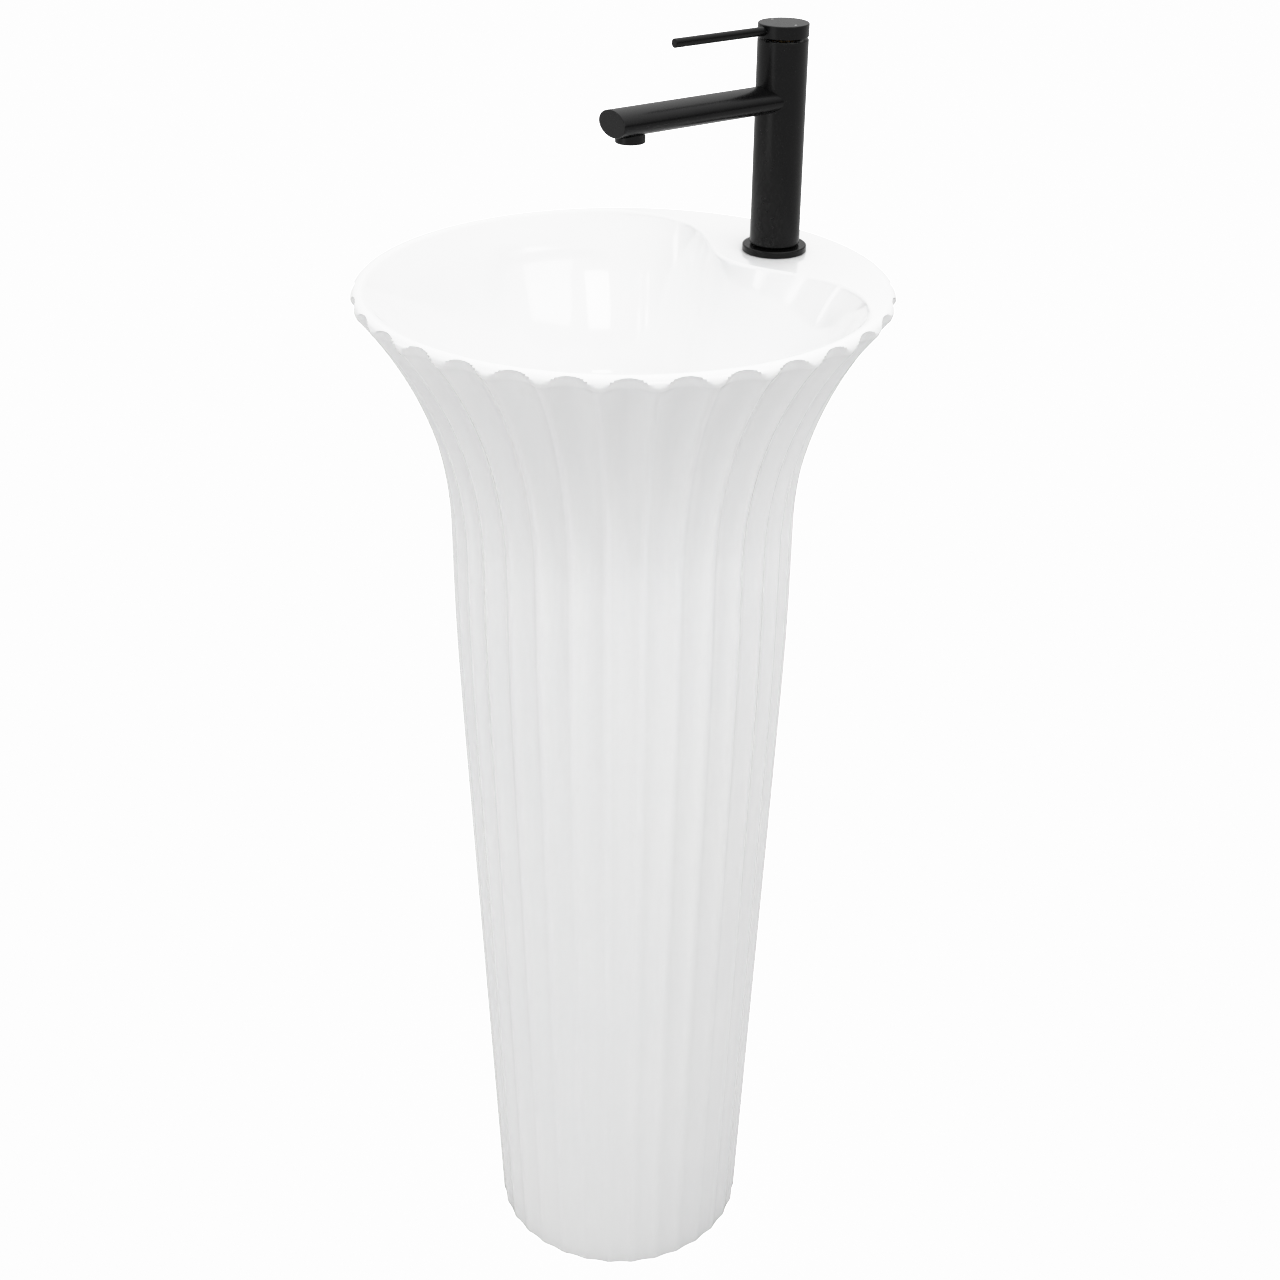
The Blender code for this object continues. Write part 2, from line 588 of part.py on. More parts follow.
def make_outlet(drain):
    at = (0, 0, BRANCH_Z)
    ring("trap_outlet_washer", 19.8, 16.4, 49.8, 47.3, RUBBER, drain, location=at, lay=True)
    turned("trap_outlet_nut", nut_section(24, 20.1, 16.4, 38, 53.5, 53.5), CHROME, drain, location=at,
           lay=True)
    bend = [(0, PIPE_Y - PIPE_BEND + PIPE_BEND * math.sin(t), BRANCH_Z - PIPE_BEND + PIPE_BEND * math.cos(t))
            for t in (i * math.pi / 12 for i in range(7))]
    outside = tube_mesh("outlet_pipe", [(0, 32, BRANCH_Z), *bend, (0, PIPE_Y, PIPE_END)], PIPE_R)
    inside = tube_mesh("pipe_bore", [(0, 31, BRANCH_Z), *bend, (0, PIPE_Y, PIPE_END - 1)], PIPE_BORE)
    pipe = add_piece("outlet_pipe", outside, CHROME, drain)
    boolean(pipe, add_cutter("outlet_pipe_bore", inside, pipe), "DIFFERENCE")


def smooth_round_pieces():
    """Applies each piece's modifiers, then shades it smooth with its sharp edges kept."""
    bpy.context.view_layer.update()
    graph = bpy.context.evaluated_depsgraph_get()
    pieces = [obj for obj in SINK.objects if obj.type == "MESH"]
    meshes = [bpy.data.meshes.new_from_object(obj.evaluated_get(graph)) for obj in pieces]
    for obj, mesh in zip(pieces, meshes):
        obj.modifiers.clear()
        obj.data = mesh
        mesh.shade_smooth()
        mesh.set_sharp_from_angle(angle=math.radians(35))


def main():
    make_basin()
    tap = new_empty("tap_axis", (0, TAP_Y, RIM_Z))
    pivot = new_empty("lever_pivot", (0, 0, PIVOT_Z), tap)
    drain = new_empty("drain_axis", (0, 0, BOWL_FLOOR))
    make_tap_body(tap)
    make_spout(tap)
    make_tap_fixing(tap)
    make_cartridge(tap, pivot)
    make_handle(pivot)
    make_waste(drain)
    make_plug(drain)
    make_trap(drain)
    make_outlet(drain)
    smooth_round_pieces()


clear_scene()
SINK = new_collection("pedestal_sink")
CUTTERS = new_collection("cutters")
main()
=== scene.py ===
"""Looks for the fluted pedestal sink: glazed ceramic, a satin black tap, its waste and its trap.

Sizes are in millimetres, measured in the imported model's frame, and MM turns them into metres.
"""

import json
import math

import bmesh
import bpy
from mathutils import Matrix, Vector


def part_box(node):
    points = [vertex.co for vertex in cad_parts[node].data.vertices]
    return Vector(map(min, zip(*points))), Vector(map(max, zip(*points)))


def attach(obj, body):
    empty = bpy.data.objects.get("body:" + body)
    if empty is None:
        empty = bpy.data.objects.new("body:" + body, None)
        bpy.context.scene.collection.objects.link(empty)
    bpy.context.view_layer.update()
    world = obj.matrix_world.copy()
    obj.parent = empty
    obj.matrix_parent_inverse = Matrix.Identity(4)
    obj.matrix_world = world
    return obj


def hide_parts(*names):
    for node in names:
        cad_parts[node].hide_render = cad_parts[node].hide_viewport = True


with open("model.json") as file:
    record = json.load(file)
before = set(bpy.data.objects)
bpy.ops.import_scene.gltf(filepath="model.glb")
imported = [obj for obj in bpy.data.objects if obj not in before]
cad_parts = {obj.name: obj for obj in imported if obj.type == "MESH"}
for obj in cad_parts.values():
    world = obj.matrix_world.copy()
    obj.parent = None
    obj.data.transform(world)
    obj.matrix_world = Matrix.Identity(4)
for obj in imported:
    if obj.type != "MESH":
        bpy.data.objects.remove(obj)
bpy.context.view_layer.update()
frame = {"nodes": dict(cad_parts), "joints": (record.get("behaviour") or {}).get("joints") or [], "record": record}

MM = 0.001


def low(node):
    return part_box(node)[0] / MM


def high(node):
    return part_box(node)[1] / MM


# Places read from the frame
RIM_Z = high("basin_pedestal").z
FLUTES = 32
FACET = 0.42                  # how far the solid's straight facets cut inside the true ridge
RIM_R = high("basin_pedestal").x / math.cos(math.pi / FLUTES) - FACET
TAP = (low("base_ring") + high("base_ring")) / 2
TAP.z = RIM_Z
DRAIN = Vector((0, 0, high("plug_guide").z + 4))
JOINTS = {joint["name"]: joint for joint in frame["joints"]}
PIVOT = Vector(JOINTS["handle_lift"]["pos_m"]) / MM

# The ceramic
BASE_R = 109.0
NECK_R = 133.3
NECK_Z = 600.0                # where the taper ends and the upright neck starts
FLARE_Z = 690.0               # where the neck turns into the flare
LIP_ROUND = 6.5
FLUTE_DEPTH = (1.2, 7.4)      # at the floor and at the rim
RIDGE_START = (0.70, 0.84)    # share of the half flute where its hollow turns into the ridge: neck, rim
ARCH_TOP = 878.9              # where a flute's middle ends under the lip
ARCH_DROP = 13.5              # how much lower it ends beside a ridge
ARCH_POWER = 2.6              # how flat the arch is over the middle
ARCH_HEIGHT = 9.5             # over which the flute runs out
COVE_POWER = 0.7              # how bluntly it runs out
FOOT_ROUND = (1.6, 1.5)       # how far in, and how far up, the foot's edge is rounded
WALL = 14.0                   # of the bowl
COLUMN_WALL = 15.0            # of the column, behind the middle of a flute
DECK_NOSE = 95.0              # the deck's front edge, behind the bowl's middle
DECK_SWEEP = 42.0             # how much further back the edge is at the sides
DECK_SPREAD = 66.0            # how far from the middle the edge sweeps back
DECK_SIDE = 80                # degrees from the back, past which the edge is the plain rim
DECK_THICK = 14.0
DECK_HOLE_R = 17.5
CORNER_POWER = 8              # how tightly the deck's edge turns into the rim
DECK_FADE = 0.15              # how much of the deck's outline the bowl has lost where its wall ends
LIP_INNER = (7.4, 10.0, 138)  # how the lip rolls over inside: across, down and the turn it ends at
DECK_EDGE = (3.6, 3.6, 164)   # how the deck's edge rolls over
LIP_FADE = 60                 # height over which the bowl's wall thickens towards its lip
BOWL_FLOOR = DRAIN.z
BOWL_TURN = BOWL_FLOOR + 40   # where the bowl's wall curves into its floor
FLOOR_FLAT_R = 34.0
FLOOR_THICK = 13.0
HOLLOW_SPREAD = (20, 42)      # degrees from the back over which the hollow under the deck runs out
HOLLOW_TOP = 6                # above the bowl's floor, where there is no deck
HOLLOW_LEAST = 5              # the hollow stops where it would get narrower than this
DRAIN_HOLE_R = 23.0
COLUMNS = 16 * FLUTES

# The camera, placed where the photograph's view comes from
CAMERA_AZIMUTH = 55.2
CAMERA_DISTANCE = 1371.3
CAMERA_HEIGHT = 1323.3
CAMERA_PITCH = 28.44
CAMERA_YAW = 0.618
CAMERA_ROLL = 0.610
CAMERA_LENS = 54.28
SENSOR = 36.0


# Node materials

class Surface:
    """A Principled material whose colour, roughness and bump come from procedural textures."""

    def __init__(self, name, metallic=0.0, **sockets):
        self.material = bpy.data.materials.new(name)
        self.material.use_nodes = True
        self.tree = self.material.node_tree
        self.shader = self.tree.nodes["Principled BSDF"]
        self.shader.inputs["Metallic"].default_value = metallic
        for socket, value in sockets.items():
            self.shader.inputs[socket.replace("_", " ")].default_value = value
        self.place = self.tree.nodes.new("ShaderNodeTexCoord").outputs["Object"]
        self.normal = None

    def noise(self, scale, detail=3.0, stretch=(1, 1, 1)):
        mapping = self.tree.nodes.new("ShaderNodeMapping")
        mapping.inputs["Scale"].default_value = stretch
        self.tree.links.new(self.place, mapping.inputs["Vector"])
        texture = self.tree.nodes.new("ShaderNodeTexNoise")
        texture.inputs["Scale"].default_value = scale
        texture.inputs["Detail"].default_value = detail
        self.tree.links.new(mapping.outputs["Vector"], texture.inputs["Vector"])
        return texture.outputs["Fac"]

    def spread(self, value, low_end, high_end):
        """Maps a noise value, which keeps near its middle, to a range."""
        node = self.tree.nodes.new("ShaderNodeMapRange")
        node.inputs["From Min"].default_value = 0.3
        node.inputs["From Max"].default_value = 0.7
        node.inputs["To Min"].default_value = low_end
        node.inputs["To Max"].default_value = high_end
        self.tree.links.new(value, node.inputs["Value"])
        return node.outputs["Result"]

    def colour(self, value, dark, pale):
        node = self.tree.nodes.new("ShaderNodeMix")
        node.data_type = "RGBA"
        node.inputs["A"].default_value = (*dark, 1)
        node.inputs["B"].default_value = (*pale, 1)
        self.tree.links.new(self.spread(value, 0, 1), node.inputs["Factor"])
        self.tree.links.new(node.outputs["Result"], self.shader.inputs["Base Color"])

    def roughness(self, value, smoothest, roughest):
        self.tree.links.new(self.spread(value, smoothest, roughest), self.shader.inputs["Roughness"])

    def bump(self, value, height_mm, strength=1.0):
        node = self.tree.nodes.new("ShaderNodeBump")
        node.inputs["Strength"].default_value = strength
        node.inputs["Distance"].default_value = height_mm * MM
        self.tree.links.new(value, node.inputs["Height"])
        if self.normal is not None:
            self.tree.links.new(self.normal, node.inputs["Normal"])
        self.normal = node.outputs["Normal"]
        self.tree.links.new(self.normal, self.shader.inputs["Normal"])
        return self


def glaze():
    """White gloss glaze: a faint warm and cool drift, slow waves and a very fine orange peel."""
    made = Surface("white_glaze", IOR=1.52, Specular_IOR_Level=0.65)
    made.colour(made.noise(5, 2), (0.888, 0.89, 0.892), (0.908, 0.908, 0.906))
    made.roughness(made.noise(30, 4), 0.055, 0.10)
    made.bump(made.noise(16, 1), 0.35, 0.35)
    return made.bump(made.noise(260, 2), 0.02, 0.35).material


def bisque():
    """Unglazed ceramic, where the foot stands and inside the column."""
    made = Surface("bare_ceramic")
    made.colour(made.noise(40, 5), (0.62, 0.60, 0.56), (0.74, 0.72, 0.68))
    made.roughness(made.noise(200, 4), 0.75, 0.95)
    return made.bump(made.noise(900, 4), 0.06, 0.5).material


def satin_black():
    """Black coating with a soft sheen and a very fine grain."""
    made = Surface("satin_black", Specular_IOR_Level=0.22)
    made.colour(made.noise(60, 3), (0.0022, 0.0022, 0.0023), (0.0034, 0.0034, 0.0035))
    made.roughness(made.noise(350, 3), 0.22, 0.28)
    return made.bump(made.noise(2600, 2), 0.008, 0.35).material


def turned_metal(name, dark, pale, smoothest, roughest, scratch=0.01):
    """Metal with fine turning marks round its upright axis."""
    made = Surface(name, metallic=1.0)
    made.colour(made.noise(80, 3), dark, pale)
    made.roughness(made.noise(60, 4, (1, 1, 30)), smoothest, roughest)
    return made.bump(made.noise(90, 3, (1, 1, 60)), scratch, 0.5).material


def moulded(name, dark, pale, smoothest, roughest, grain=0.015):
    made = Surface(name)
    made.colour(made.noise(70, 4), dark, pale)
    made.roughness(made.noise(400, 4), smoothest, roughest)
    return made.bump(made.noise(1400, 3), grain, 0.5).material


MATERIALS = {
    "ceramic": glaze(),
    "bare_ceramic": bisque(),
    "black_metal": satin_black(),
    "rubber": moulded("moulded_rubber", (0.014, 0.014, 0.014), (0.028, 0.028, 0.027), 0.70, 0.88, 0.03),
    "steel": turned_metal("turned_steel", (0.46, 0.46, 0.45), (0.60, 0.60, 0.59), 0.22, 0.40),
    "brass": turned_metal("turned_brass", (0.62, 0.43, 0.17), (0.76, 0.56, 0.27), 0.22, 0.42),
    "chrome": turned_metal("chrome_plate", (0.74, 0.75, 0.76), (0.82, 0.83, 0.84), 0.05, 0.12, 0.002),
    "white_plastic": moulded("white_acetal", (0.74, 0.74, 0.72), (0.82, 0.82, 0.80), 0.36, 0.50),
    "grey_plastic": moulded("grey_acetal", (0.27, 0.29, 0.31), (0.35, 0.37, 0.39), 0.38, 0.52),
    "valve_ceramic": moulded("lapped_alumina", (0.70, 0.66, 0.58), (0.78, 0.74, 0.66), 0.10, 0.22, 0.002),
    "enamel": moulded("pale_enamel", (0.62, 0.62, 0.61), (0.70, 0.70, 0.69), 0.25, 0.35, 0.004),
}


# Mesh helpers

def soften(points, size, closed):
    """Rounds each corner of a chain of (radius, height) points, but not an open chain's ends."""
    if size == 0:
        return list(points)
    chain = []
    for i, point in enumerate(points):
        if not closed and i in (0, len(points) - 1):
            chain.append(point)
            continue
        here = Vector(point)
        before, after = Vector(points[i - 1]) - here, Vector(points[(i + 1) % len(points)]) - here
        cut = min(size, 0.4 * before.length, 0.4 * after.length)
        start, end = here + before.normalized() * cut, here + after.normalized() * cut
        for t in (0, 0.25, 0.5, 0.75, 1):
            chain.append(tuple(start * (1 - t) ** 2 + here * 2 * t * (1 - t) + end * t * t))
    return chain


def bridge(bm, rows):
    """Quads between neighbouring rows of vertices. A row of one vertex is a pole."""
    for upper, lower in zip(rows, rows[1:]):
        count = max(len(upper), len(lower))
        for i in range(count):
            j = (i + 1) % count
            corners = [upper[i % len(upper)], lower[i % len(lower)], lower[j % len(lower)],
                       upper[j % len(upper)]]
            unique = [v for k, v in enumerate(corners) if v not in corners[:k]]
            if len(unique) > 2:
                bm.faces.new(unique)


def circle(bm, radius, z, sides, shape=None):
    """A row of vertices. shape(turn, radius, z), where it is given, says how far out each one is."""
    if radius < 1e-6:
        return [bm.verts.new((0, 0, z))]
    row = []
    for i in range(sides):
        turn = 2 * math.pi * i / sides
        r = shape(turn, radius, z) if shape else radius
        row.append(bm.verts.new((r * math.cos(turn), r * math.sin(turn), z)))
    return row


def lathe(points, sides=64, rounding=0.3, shape=None):
    """A turned solid. The chain runs down the outer side; one that starts off the axis is a ring."""
    closed = points[0][0] > 0
    bm = bmesh.new()
    rows = [circle(bm, r, z, sides, shape) for r, z in soften(points, rounding, closed)]
    if closed:
        rows.append(rows[0])
    bridge(bm, rows)
    return bm


def to_object(name, bm, slot):
    bmesh.ops.recalc_face_normals(bm, faces=bm.faces)
    mesh = bpy.data.meshes.new(name)
    bm.to_mesh(mesh)
    bm.free()
    mesh.materials.append(MATERIALS[slot])
    mesh.shade_smooth()
    obj = bpy.data.objects.new(name, mesh)
    bpy.context.scene.collection.objects.link(obj)
    return obj


def place(bm, origin, along=None):
    """Moves a mesh made in millimetres at the origin to its place, in metres. along is its axis."""
    turn = Vector((0, 0, 1)).rotation_difference(Vector(along)).to_matrix().to_4x4() if along else Matrix()
    bm.transform(Matrix.Scale(MM, 4) @ Matrix.Translation(origin) @ turn)
    return bm


def apply_modifiers(obj):
    graph = bpy.context.evaluated_depsgraph_get()
    mesh = bpy.data.meshes.new_from_object(obj.evaluated_get(graph))
    obj.modifiers.clear()
    obj.data = mesh


def boolean(target, other, operation="DIFFERENCE"):
    """Cuts or joins another solid and removes it."""
    modifier = target.modifiers.new("boolean", "BOOLEAN")
    modifier.operation = operation
    modifier.solver = "EXACT"
    modifier.object = other
    apply_modifiers(target)
    bpy.data.objects.remove(other)


def rod(radius, start, end, sides=48):
    """A plain solid cylinder between two points, to cut or join with."""
    start, end = Vector(start), Vector(end)
    length = (end - start).length
    bm = lathe([(0, length), (radius, length), (radius, 0), (0, 0)], sides, 0)
    return place(bm, start, end - start)


def cut(target, radius, start, end, sides=48):
    boolean(target, to_object("cutter", rod(radius, start, end, sides), "steel"))


def show(obj, node, body):
    """Puts a finished piece in a CAD node's place, on its body."""
    obj.data.set_sharp_from_angle(angle=math.radians(38))
    weighted = obj.modifiers.new("weighted_normals", "WEIGHTED_NORMAL")
    weighted.keep_sharp = True
    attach(obj, body)
    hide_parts(node)


# The ceramic

def mix(a, b, share):
    return a + (b - a) * share


def ease(value, start, end):
    """0 before start, 1 past end, smooth between."""
    t = min(max((value - start) / (end - start), 0), 1)
    return t * t * (3 - 2 * t)


def lip_point(slope):
    """Radius and height on the lip's round outer side, where it faces this angle above level."""
    return RIM_R - LIP_ROUND + LIP_ROUND * math.cos(slope), RIM_Z - LIP_ROUND + LIP_ROUND * math.sin(slope)


# The flare is one arc: upright where it leaves the neck, and touching the lip's rounding
REACH = RIM_R - LIP_ROUND - NECK_R
RISE = RIM_Z - LIP_ROUND - FLARE_Z
FLARE_ARC = (REACH ** 2 + RISE ** 2 - LIP_ROUND ** 2) / (2 * (REACH + LIP_ROUND))
LIP_START = -math.atan2(RISE, FLARE_ARC - REACH)
FLARE_TOP = lip_point(LIP_START)


def column_radius(z, flare_end=FLARE_TOP[1]):
    """The ridges' radius: a taper that eases into an upright neck, then the flare up to flare_end."""
    taper = NECK_R - math.log1p(math.exp((NECK_R - BASE_R) * (1 - z / NECK_Z)))
    rise = min(max(z, FLARE_Z), flare_end) - FLARE_Z
    return taper + FLARE_ARC - math.sqrt(FLARE_ARC ** 2 - rise ** 2)


def flute_depth(z):
    return mix(*FLUTE_DEPTH, (z / RIM_Z) ** 2)


def flute_section(across, ridge):
    """1 in the flute's middle and 0 on the ridge: a hollow that turns over into a soft ridge."""
    if across < ridge:
        hollow = 1 - across * across
    else:
        hollow = ridge * (1 - across) ** 2 / (1 - ridge) + 1 - ridge
    return (hollow - 1 + ridge) / ridge


def flute(angle, z):
    """How deep the outside is cut here. Each flute ends in an arch under the lip."""
    phase = (angle + math.pi / 2) * FLUTES / (2 * math.pi)
    across = 2 * abs(phase - round(phase))
    top = ARCH_TOP - ARCH_DROP * across ** ARCH_POWER
    rise = min(max((z - top + ARCH_HEIGHT) / ARCH_HEIGHT, 0), 1)
    ridge = mix(*RIDGE_START, ease(z, FLARE_Z, RIM_Z))
    return flute_depth(z) * flute_section(across, ridge) * (1 - rise * rise) ** COVE_POWER


def bowl_edge(angle):
    """The radius of the bowl's top edge: round, but cut off at the back by the deck."""
    inner = RIM_R - WALL
    from_back = abs(math.remainder(angle - math.pi / 2, 2 * math.pi))
    if from_back > math.radians(DECK_SIDE):
        return inner
    near, far = DECK_NOSE, 6 * inner
    for _ in range(40):
        middle = (near + far) / 2
        x, y = middle * math.sin(from_back), middle * math.cos(from_back)
        if y < DECK_NOSE + DECK_SWEEP * (1 - math.exp(-((x / DECK_SPREAD) ** 2))):
            near = middle
        else:
            far = middle
    return (near ** -CORNER_POWER + inner ** -CORNER_POWER) ** (-1 / CORNER_POWER)


def bowl_wall(edge, z):
    """The bowl's radius above its turn: it follows the flare, and grows rounder as it goes down."""
    rounder = DECK_FADE * (RIM_Z - z) / (RIM_Z - BOWL_TURN)
    return mix(edge, RIM_R - WALL, rounder) * (column_radius(z, RIM_Z) - WALL) / (FLARE_TOP[0] - WALL)


def bowl_turn(edge, share):
    """A point on the quarter oval from the wall (0) to the flat floor (1)."""
    turn = share * math.pi / 2
    radius = FLOOR_FLAT_R + (bowl_wall(edge, BOWL_TURN) - FLOOR_FLAT_R) * math.cos(turn)
    return radius, BOWL_FLOOR + (BOWL_TURN - BOWL_FLOOR) * (1 - math.sin(turn))


def cavity_radius(z):
    return column_radius(z) - flute_depth(z) - COLUMN_WALL


def shell_radius(edge, z):
    """The outside of the bowl's wall and floor, seen from inside the column."""
    base = BOWL_FLOOR - FLOOR_THICK
    if z >= BOWL_TURN:
        return bowl_wall(edge, z) + WALL
    rise = max((z - base) / (BOWL_TURN - base), 0)
    reach = bowl_wall(edge, BOWL_TURN) + WALL - FLOOR_FLAT_R
    return FLOOR_FLAT_R + reach * math.sqrt(1 - (1 - rise) ** 2)


def cavity_top(angle, edge):
    """How high the hollow column reaches: up to the deck at the back, under the bowl elsewhere."""
    from_back = abs(math.degrees(math.remainder(angle - math.pi / 2, 2 * math.pi)))
    top = mix(RIM_Z - DECK_THICK, BOWL_FLOOR + HOLLOW_TOP, ease(from_back, *HOLLOW_SPREAD))
    z = BOWL_FLOOR - FLOOR_THICK + HOLLOW_LEAST
    while z < top and cavity_radius(z + 1) - shell_radius(edge, z + 1) > HOLLOW_LEAST:
        z += 1
    return z


def steps(start, end, count):
    """Evenly spaced values from start, without end itself."""
    return [mix(start, end, i / count) for i in range(count)]


def outside_rows(angle):
    """From the foot up over the lip to its crest."""
    arches = 854              # where the rows get closer, for the flutes' arched ends
    heights = [0, 0.4, FOOT_ROUND[1]] + steps(12, FLARE_Z, 20)
    heights += steps(FLARE_Z, arches, 22) + steps(arches, FLARE_TOP[1], 14)
    rows = []
    foot_in, foot_up = FOOT_ROUND
    for z in heights:
        foot = foot_in * (1 - min(z / foot_up, 1)) ** 2
        rows.append((column_radius(z) - foot - flute(angle, z), z))
    for slope in steps(LIP_START, math.pi / 2, 28) + [math.pi / 2]:
        radius, z = lip_point(slope)
        rows.append((radius - flute(angle, z), z))
    return rows


def bowl_rows(angle, edge):
    """From the crest over the lip or the deck's edge, and down to the drain hole."""
    on_deck = ease(RIM_R - WALL - edge, 0, 6)
    across, down, last_turn = (mix(lip, deck, on_deck) for lip, deck in zip(LIP_INNER, DECK_EDGE))
    rows = [(r, RIM_Z) for r in steps(RIM_R - LIP_ROUND, edge + across, 6)[1:]]
    for turn in steps(90, last_turn, 9) + [last_turn]:
        slope = math.radians(turn)
        rows.append((edge + across * (1 + math.cos(slope)), RIM_Z - down * (1 - math.sin(slope))))
    start, below = rows[-1]
    for z in steps(below, BOWL_TURN, 15)[1:]:
        thicker = (start - bowl_wall(edge, below)) * ease(z, below - LIP_FADE, below)
        rows.append((bowl_wall(edge, z) + thicker, z))
    rows += [bowl_turn(edge, share) for share in steps(0, 1, 16)]
    rows += [(FLOOR_FLAT_R, BOWL_FLOOR), (DRAIN_HOLE_R + 1, BOWL_FLOOR), (DRAIN_HOLE_R, BOWL_FLOOR - 1)]
    return rows


def inside_rows(angle, edge):
    """From the drain hole along the hollow column's wall to the foot."""
    top = cavity_top(angle, edge)
    base = BOWL_FLOOR - FLOOR_THICK
    rows = [(DRAIN_HOLE_R, base), (FLOOR_FLAT_R, base)]
    for share in (0.12, 0.25, 0.4, 0.55, 0.7, 0.85, 1):
        z = mix(base, top, 1 - math.cos(share * math.pi / 2))
        rows.append((shell_radius(edge, z), z))
    rows += [(cavity_radius(z), z) for z in steps(top, NECK_Z, 8) + steps(NECK_Z, 0, 5) + [0]]
    return rows


def make_ceramic():
    bm = bmesh.new()
    columns = []
    for i in range(COLUMNS):
        angle = 2 * math.pi * i / COLUMNS - math.pi / 2
        edge = bowl_edge(angle)
        rows = outside_rows(angle) + bowl_rows(angle, edge) + inside_rows(angle, edge)
        columns.append([(r * math.cos(angle) * MM, r * math.sin(angle) * MM, z * MM) for r, z in rows])
    rows = [[bm.verts.new(co) for co in row] for row in zip(*columns)]
    bridge(bm, rows + [rows[0]])
    ceramic = to_object("glazed_basin_and_column", bm, "ceramic")
    cut(ceramic, DECK_HOLE_R, (0, TAP.y, RIM_Z - 2 * DECK_THICK), (0, TAP.y, RIM_Z + 5))
    ceramic.data.materials.append(MATERIALS["bare_ceramic"])
    for face in ceramic.data.polygons:
        centre = face.center / MM
        inside = math.hypot(centre.x, centre.y) < cavity_radius(min(centre.z, RIM_Z)) + 2
        if centre.z < 0.05 or (inside and centre.z < BOWL_FLOOR - FLOOR_THICK - 2):
            face.material_index = 1
    show(ceramic, "basin_pedestal", "basin")


# The tap

def make_tap_body():
    top, seat = high("faucet_body").z - RIM_Z, 123.0
    section = [(0, seat), (14.3, seat), (14.3, top - 0.3), (14.6, top), (18.45, top), (19, top - 0.55),
               (19, 6.9), (18.3, 6.2), (15, 6.2), (15, -12), (0, -12)]
    body = to_object("tap_body_tube", place(lathe(section, 96, 0.25), TAP), "black_metal")
    for x in (-7.5, 7.5):
        cut(body, 5.3, TAP + Vector((x, 4, -13)), TAP + Vector((x, 4, -4)), 32)
    cut(body, 4.3, TAP + Vector((0, -8, -13)), TAP + Vector((0, -8, 6)), 32)
    show(body, "faucet_body", "basin")
    section = [(23.9, 5.2), (24.5, 4.6), (24.5, 0.3), (23.8, 0.3), (23.8, 1.8), (15.3, 1.8), (15.3, 5.2)]
    ring = to_object("tap_base_ring", place(lathe(section, 96, 0.25), TAP), "black_metal")
    show(ring, "base_ring", "basin")


SPOUT_MIDDLE = (low("spout") + high("spout")) / 2
SPOUT_HALF = (high("spout") - low("spout")) / 2
SPOUT_END = low("spout").y
AERATOR = (low("aerator_housing") + high("aerator_housing")) / 2


def spout_underside(x):
    return SPOUT_MIDDLE.z - SPOUT_HALF.z * math.sqrt(1 - (x / SPOUT_HALF.x) ** 2)


def make_spout():
    """An oval bar. Its end is shut, its edge is softened and its root follows the tap's round body."""
    sides, edge, root = 96, 0.5, high("faucet_body").x + 0.25
    bm = bmesh.new()

    def oval(inset, y_of):
        row = []
        for i in range(sides):
            turn = 2 * math.pi * i / sides
            x = (SPOUT_HALF.x - inset) * math.cos(turn)
            z = SPOUT_MIDDLE.z + (SPOUT_HALF.z - inset) * math.sin(turn)
            row.append(bm.verts.new((x, y_of(x), z)))
        return row

    def saddle(x):
        return TAP.y - math.sqrt(root * root - x * x)

    rows = [[bm.verts.new((0, SPOUT_END, SPOUT_MIDDLE.z))]]
    rows += [oval(inset, lambda x: SPOUT_END) for inset in (8, 4, edge)]
    for turn in (22.5, 45, 67.5, 90):
        slope = math.radians(turn)
        rows.append(oval(edge * (1 - math.sin(slope)), lambda x: SPOUT_END + edge * (1 - math.cos(slope))))
    for share in (0.1, 0.25, 0.4, 0.55, 0.7, 0.85, 1):
        rows.append(oval(0, lambda x: mix(SPOUT_END + edge, saddle(x), share)))
    rows += [oval(inset, saddle) for inset in (1.5, 4)]
    rows.append([bm.verts.new((0, saddle(0), SPOUT_MIDDLE.z))])
    bridge(bm, rows)
    bm.transform(Matrix.Scale(MM, 4))
    spout = to_object("spout_bar", bm, "black_metal")
    cut(spout, 10.0, (0, AERATOR.y, low("spout").z - 5), (0, AERATOR.y, SPOUT_MIDDLE.z - 4))
    show(spout, "spout", "basin")


def make_aerator():
    """A short sleeve whose outer wall ends a hair below the spout's curved underside."""
    bottom, gap = low("aerator_housing").z, 0.35
    bm = bmesh.new()
    section = [(9.3, 111.3), (9.75, 111.3), (9.75, None), (10.7, None), (11, None), (11, 102.0),
               (10.9, 101.55), (10.6, 101.3), (8.4, 101.3), (8.2, 101.5), (8.2, 102.5), (9.3, 102.5)]
    rows = []
    for k, (radius, z) in enumerate(section):
        row = []
        for i in range(96):
            turn = 2 * math.pi * i / 96
            x, y = radius * math.cos(turn), radius * math.sin(turn)
            under = spout_underside(x) - gap - (0.3 if k == 4 else 0)
            row.append(bm.verts.new((x, AERATOR.y + y, under if z is None else z - 101.3 + bottom)))
        rows.append(row)
    bridge(bm, rows + [rows[0]])
    bm.transform(Matrix.Scale(MM, 4))
    show(to_object("aerator_sleeve", bm, "black_metal"), "aerator_housing", "basin")


LEVER_Z = (low("lever_rod").z + high("lever_rod").z) / 2


